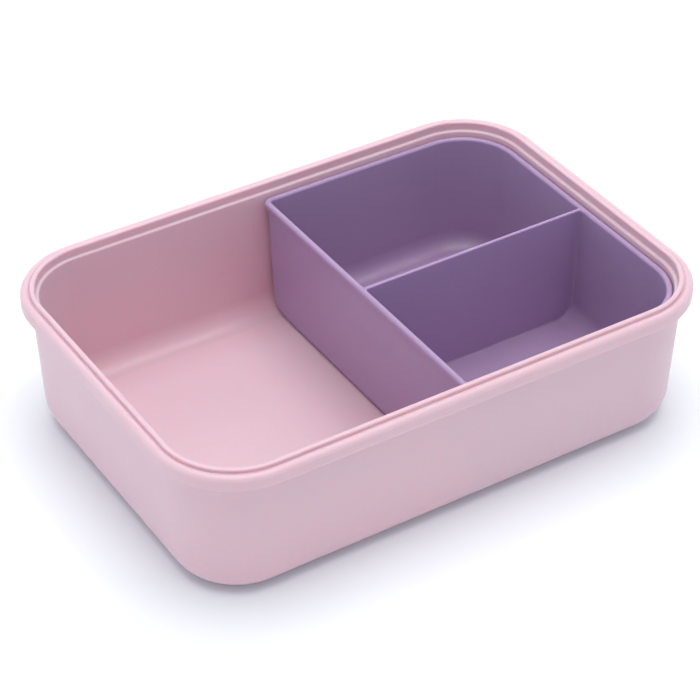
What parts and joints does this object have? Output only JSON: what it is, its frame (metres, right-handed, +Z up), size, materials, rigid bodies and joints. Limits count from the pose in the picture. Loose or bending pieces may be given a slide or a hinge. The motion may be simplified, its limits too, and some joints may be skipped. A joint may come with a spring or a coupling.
{
  "type": "lunch box",
  "caption": "Open round-cornered plastic lunch box with a stepped, flanged rim and a divided tray that fills one half and lifts out.",
  "frame": {"origin": "middle of the box's base, in the plane of the ring that it stands on", "axes": "+X along the length, towards the half that holds the tray; +Y along the width; +Z up, out of the open top"},
  "size_m": [0.234, 0.1642, 0.0631],
  "materials": {
    "pink_plastic": "satin, very fine moulded texture",
    "lilac_plastic": "satin, very fine moulded texture"
  },
  "bodies": {
    "box": {"outer_box": "pink_plastic"},
    "tray": {"insert_tray": "lilac_plastic"}
  },
  "joints": [
    {"name": "tray_lift", "type": "slide", "parent": "box", "child": "tray", "axis": [0, 0, 1], "range_m": [0, 0.07]}
  ]
}
